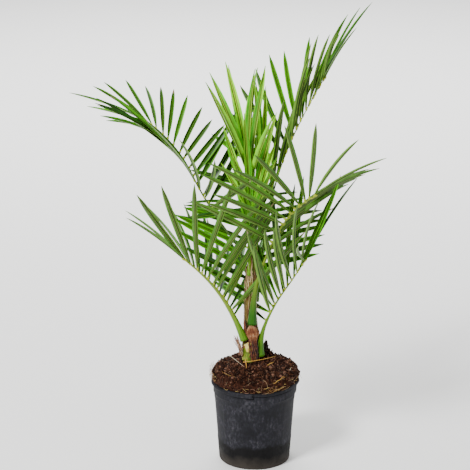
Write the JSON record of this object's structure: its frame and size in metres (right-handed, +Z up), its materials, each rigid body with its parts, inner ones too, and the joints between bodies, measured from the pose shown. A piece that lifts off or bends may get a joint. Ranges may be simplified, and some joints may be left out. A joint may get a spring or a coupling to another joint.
{
  "type": "potted canary island date palm",
  "caption": "Young date palm with arching feather fronds on a short sheathed stem, growing in a plain round black nursery pot.",
  "frame": {"origin": "middle of the pot's flat underside, on the surface that the pot stands on", "axes": "+Z up along the pot and the stem; -Y is the front, the side that the picture shows, and +X is to the right of it"},
  "size_m": [0.5173, 0.4195, 0.7699],
  "materials": {
    "pot_plastic": "matte charcoal black, dusty and scuffed",
    "peat": "coarse dark peat with pale fibres",
    "stem_sheath": "fibrous green and brown leaf sheath",
    "cut_stalk": "cut leaf stalk, cream and yellow green",
    "dry_sheath": "dry brown papery sheath",
    "leaf_green": "satin mid green leaf",
    "young_leaf_green": "satin light green young leaf"
  },
  "bodies": {
    "root": {"pot": "pot_plastic", "root_ball": "peat", "stem": "stem_sheath", "cut_leaf_base": "cut_stalk", "sheath_front": "dry_sheath", "sheath_left": "dry_sheath", "sheath_right": "stem_sheath", "frond_right_front": "leaf_green", "frond_lower_left": "leaf_green", "frond_lower_right": "leaf_green", "frond_upper_left": "leaf_green", "frond_upper_right": "leaf_green", "frond_back": "leaf_green", "frond_young_centre": "young_leaf_green", "frond_young_left": "young_leaf_green", "frond_young_right": "young_leaf_green"}
  },
  "joints": []
}
